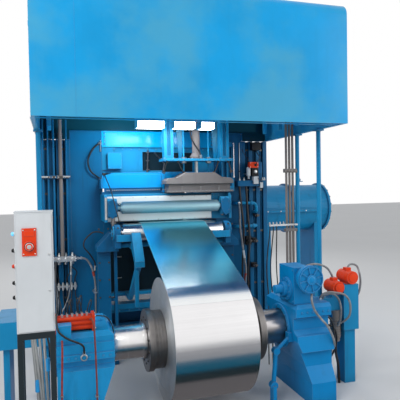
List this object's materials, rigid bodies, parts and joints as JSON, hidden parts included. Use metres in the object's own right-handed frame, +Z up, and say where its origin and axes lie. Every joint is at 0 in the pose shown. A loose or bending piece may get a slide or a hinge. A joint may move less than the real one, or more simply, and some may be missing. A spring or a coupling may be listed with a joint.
{
  "type": "rolling mill stand",
  "caption": "Four-high cold rolling mill stand with tension reel, coil, strip, guide rolls, fume hood, drive guard and control box.",
  "frame": {"origin": "on the lowest floor level, under the roll bite and on the strip centre line; centre of the housing foot bolts", "axes": "+Z up, +X across the strip towards the drive side, -Y along the strip towards the tension reel"},
  "size_m": [7.11, 8.1355, 6.37],
  "materials": {
    "housing_paint": "gloss paint on castings, worn at the edges",
    "machine_blue": "gloss paint",
    "azure_paint": "bright gloss paint",
    "hood_paint": "satin paint on sheet",
    "roll_steel": "ground and polished",
    "strip_steel": "cold rolled, bright",
    "shaft_steel": "turned",
    "dark_steel": "oiled, dark",
    "bright_steel": "ground bars and fittings",
    "grey_paint": "worn grey paint",
    "pipe_grey": "grey brown paint",
    "orange_paint": "gloss orange red paint",
    "hose_rubber": "black and grey hose",
    "cabinet_paint": "light grey powder coat",
    "stand_paint": "dark grey paint",
    "lamp_white": "lit lamp covers"
  },
  "bodies": {
    "stand": {"left_housing": "housing_paint", "right_housing": "housing_paint", "separator_beams": "housing_paint", "entry_upper_beam": "hood_paint", "lower_entry_beam": "machine_blue", "window_panel": "machine_blue", "inner_guards": "dark_steel", "left_service_frame": "housing_paint", "right_service_frame": "housing_paint", "backup_rolls": "shaft_steel", "work_rolls": "roll_steel", "backup_chocks": "machine_blue", "work_chocks": "machine_blue", "capsule_cylinders": "shaft_steel", "entry_guard_box": "azure_paint", "guide_side_plates": "machine_blue", "guide_beam": "machine_blue", "wiper_bars": "bright_steel", "guide_end_block": "machine_blue", "guide_bearings": "machine_blue", "wiper_cover": "grey_paint", "lift_frame": "machine_blue", "lift_cylinder": "grey_paint", "right_guide_column": "machine_blue", "deflector_brackets": "machine_blue", "swing_arm": "machine_blue", "strip": "strip_steel", "reel_gearbox": "azure_paint", "reel_drive_base": "machine_blue", "brake_unit": "orange_paint", "outboard_support": "azure_paint", "outboard_head": "azure_paint", "side_unit": "machine_blue", "side_motors": "orange_paint", "hood_front": "hood_paint", "hood_left": "hood_paint", "hood_right": "hood_paint", "hood_rear": "hood_paint", "hood_roof": "hood_paint", "hood_posts": "machine_blue", "lamp_rail": "pipe_grey", "hood_lamps": "lamp_white", "left_pipes": "pipe_grey", "right_pipes": "pipe_grey", "manifold": "bright_steel", "left_hoses": "hose_rubber", "right_hoses": "hose_rubber", "valve_block": "bright_steel", "control_cabinet": "cabinet_paint", "cabinet_stand": "stand_paint", "button_panel": "orange_paint", "drive_guard": "machine_blue", "guard_saddles": "machine_blue", "exit_roll": "roll_steel", "exit_brackets": "machine_blue"},
    "reel": {"coil": "strip_steel", "reel_mandrel": "shaft_steel"},
    "deflector": {"deflector_roll": "roll_steel"},
    "guide": {"guide_roll": "roll_steel"}
  },
  "joints": [
    {"name": "reel_spin", "type": "hinge", "parent": "stand", "child": "reel", "pos_m": [0, -3.72, 1.07], "axis": [1, 0, 0], "continuous": true},
    {"name": "deflector_spin", "type": "hinge", "parent": "stand", "child": "deflector", "pos_m": [0, -2.11, 2.5095], "axis": [1, 0, 0], "continuous": true},
    {"name": "guide_spin", "type": "hinge", "parent": "stand", "child": "guide", "pos_m": [0, -1.92, 2.946], "axis": [1, 0, 0], "continuous": true}
  ]
}
